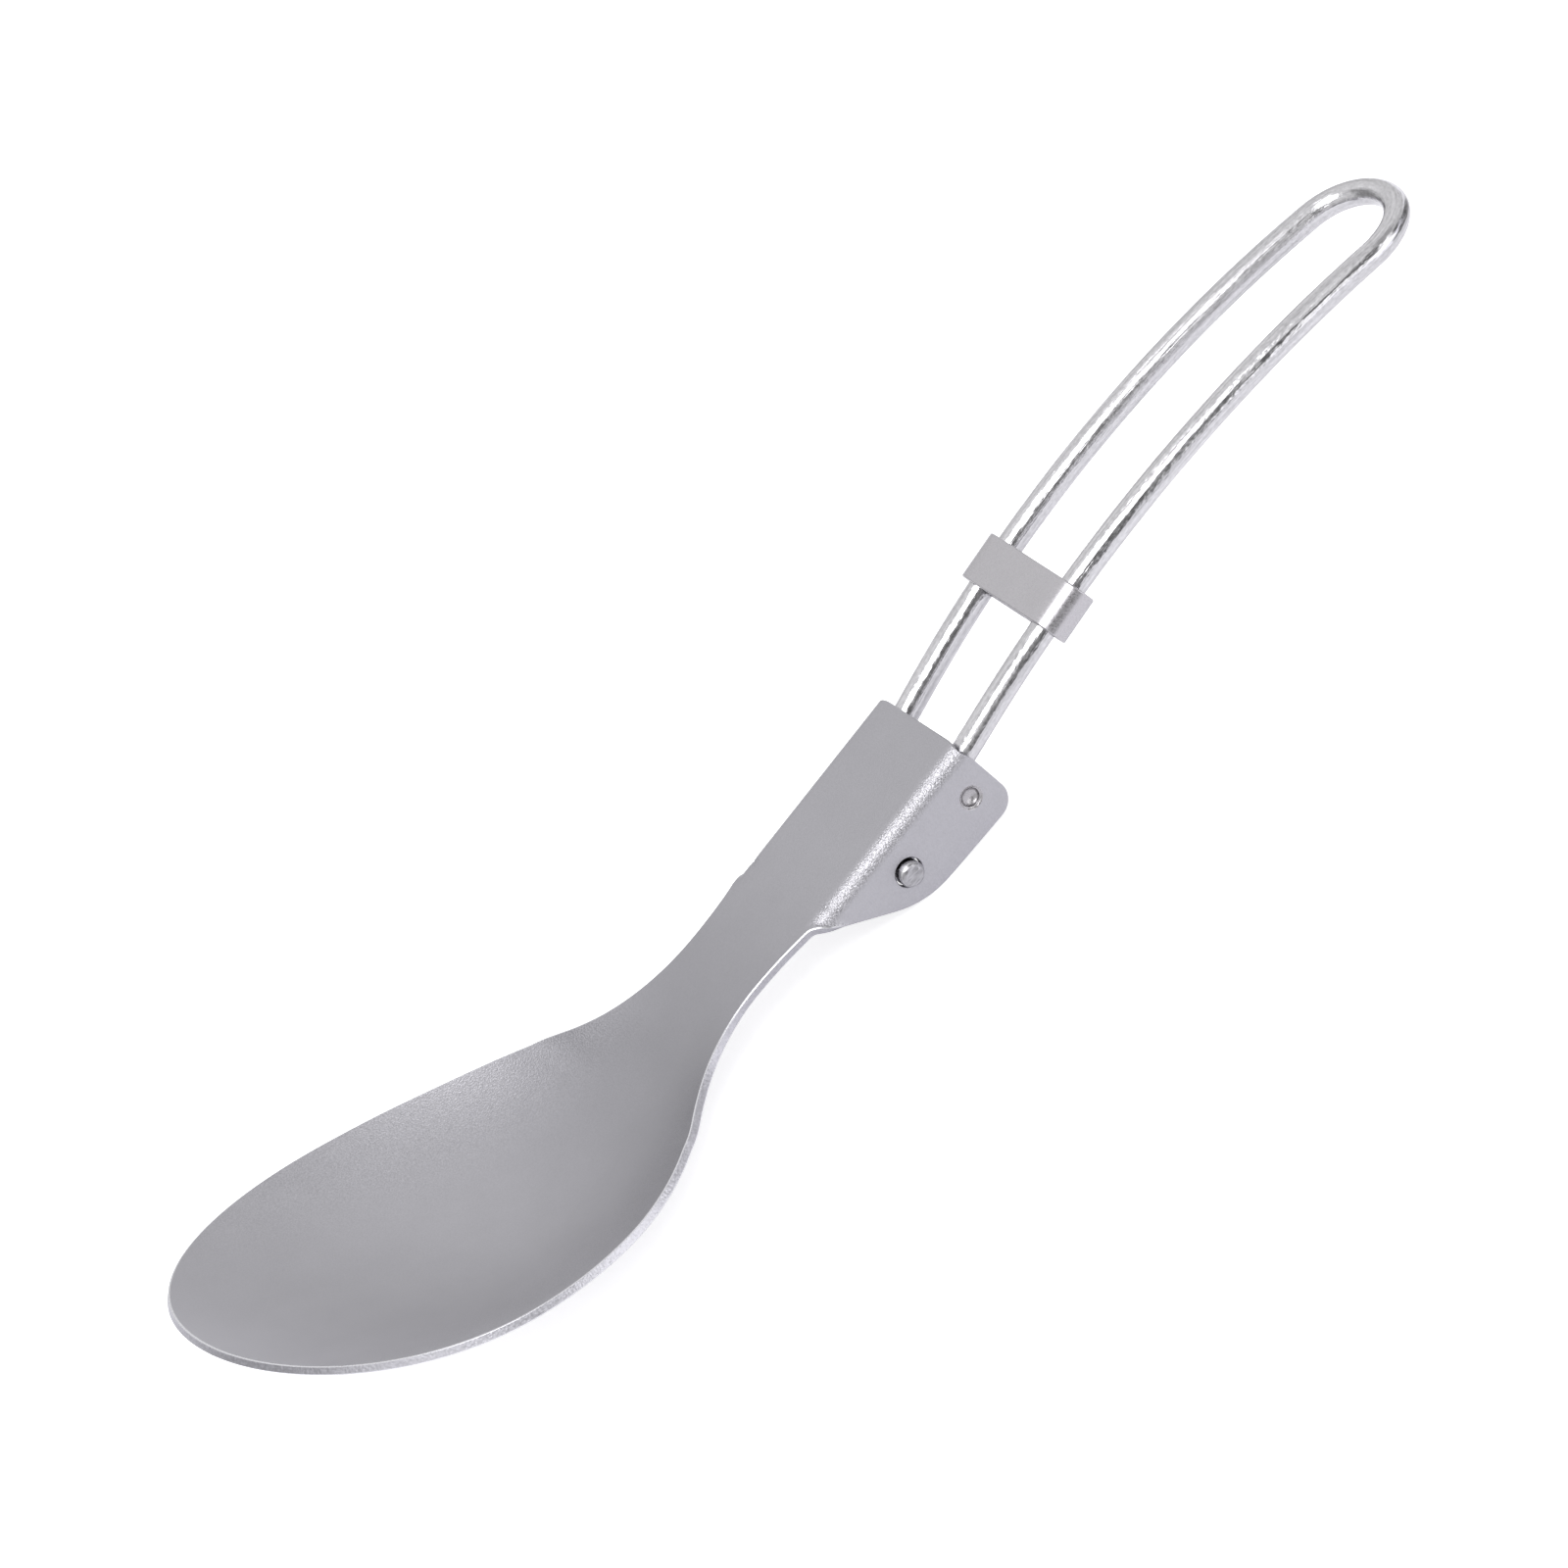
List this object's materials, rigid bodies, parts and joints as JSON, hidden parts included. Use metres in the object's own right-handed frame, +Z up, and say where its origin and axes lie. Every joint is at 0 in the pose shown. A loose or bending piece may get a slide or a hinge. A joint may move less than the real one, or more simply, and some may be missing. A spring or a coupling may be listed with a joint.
{
  "type": "folding spoon",
  "caption": "Open folding camping spoon: a sheet metal bowl and channel neck, a bent wire handle hinged in the channel, and a collar that slides along the wires.",
  "frame": {"origin": "centre of the bounding box at its lowest face: the table that the open spoon lies on, half way along its length, on its mirror plane", "axes": "+X along the spoon from the tip of the bowl to the end of the handle, +Y across the spoon, +Z up from the table on the side that the bowl opens to"},
  "size_m": [0.1824, 0.0546, 0.0223],
  "materials": {
    "blasted_titanium": "bead-blasted satin titanium",
    "polished_wire": "polished titanium wire",
    "satin_strip": "satin titanium strip"
  },
  "bodies": {
    "head": {"spoon_head": "blasted_titanium"},
    "handle": {"wire_handle": "polished_wire"},
    "collar": {"lock_collar": "satin_strip"}
  },
  "joints": [
    {"name": "handle_fold", "type": "hinge", "parent": "head", "child": "handle", "pos_m": [0.00009, 0, 0.00422], "axis": [0, 1, 0], "range_deg": [0, 184.5]},
    {"name": "collar_slide", "type": "hinge", "parent": "handle", "child": "collar", "pos_m": [0.06575, 0, -0.15577], "axis": [0, 1, 0], "range_deg": [-5.1, 16]}
  ]
}
